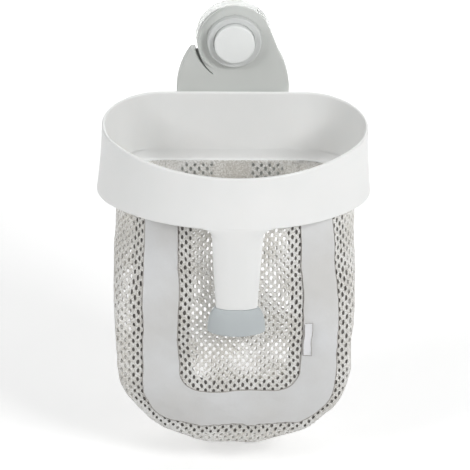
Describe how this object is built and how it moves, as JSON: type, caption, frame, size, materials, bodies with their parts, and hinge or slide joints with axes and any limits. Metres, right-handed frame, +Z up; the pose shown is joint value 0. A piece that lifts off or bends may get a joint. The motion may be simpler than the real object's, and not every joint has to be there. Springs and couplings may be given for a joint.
{
  "type": "bath toy organizer",
  "caption": "Wall-hung bath toy scoop: a D-shaped plastic rim with a handle and a mesh bag, hooked on a bracket that a push-button suction cup holds to the wall.",
  "frame": {"origin": "on the wall, at the centre of the suction cup's lip", "axes": "+X to the right as seen from the room, +Y into the wall, +Z up"},
  "size_m": [0.268, 0.1842, 0.4239],
  "materials": {
    "white_plastic": "satin white moulding",
    "grey_plastic": "satin light grey moulding",
    "silver_plastic": "satin silver grey moulding",
    "soft_grey_rubber": "matt soft moulding",
    "clear_rubber": "glossy milky soft plastic",
    "mesh_fabric": "knitted polyester mesh",
    "band_fabric": "knitted polyester, two layers",
    "lining_fabric": "woven lining",
    "tag_fabric": "smooth woven tape",
    "steel": "plated steel"
  },
  "bodies": {
    "bracket": {"bracket_plate": "grey_plastic", "suction_cup": "clear_rubber", "wall_pad_left": "soft_grey_rubber", "wall_pad_right": "soft_grey_rubber", "knob_ring": "silver_plastic", "button_spring": "steel"},
    "button": {"button_cap": "white_plastic", "button_carrier": "white_plastic", "stud": "steel", "stud_nut": "steel"},
    "scoop": {"rim_shell": "white_plastic", "handle_back_cover": "white_plastic", "handle_screw_1": "steel", "handle_screw_2": "steel", "grip_end": "soft_grey_rubber", "bag_hem": "mesh_fabric", "bag_frame": "white_plastic", "frame_screw_1": "steel", "frame_screw_2": "steel", "frame_screw_3": "steel", "frame_screw_4": "steel", "frame_screw_5": "steel", "frame_screw_6": "steel", "frame_screw_7": "steel", "frame_screw_8": "steel", "bag_front_panel": "mesh_fabric", "bag_back_panel": "mesh_fabric", "bag_gusset": "mesh_fabric", "front_band": "band_fabric", "band_lining": "lining_fabric", "blank_tag": "tag_fabric"}
  },
  "joints": [
    {"name": "button_press", "type": "slide", "parent": "bracket", "child": "button", "axis": [0, 1, 0], "range_m": [0, 0.004], "stiffness_N_per_m": 1500, "springref_m": -0.002, "deforming": ["button_spring", "suction_cup"]},
    {"name": "scoop_lift", "type": "slide", "parent": "bracket", "child": "scoop", "axis": [0, 0, 1], "range_m": [0, 0.021]}
  ]
}
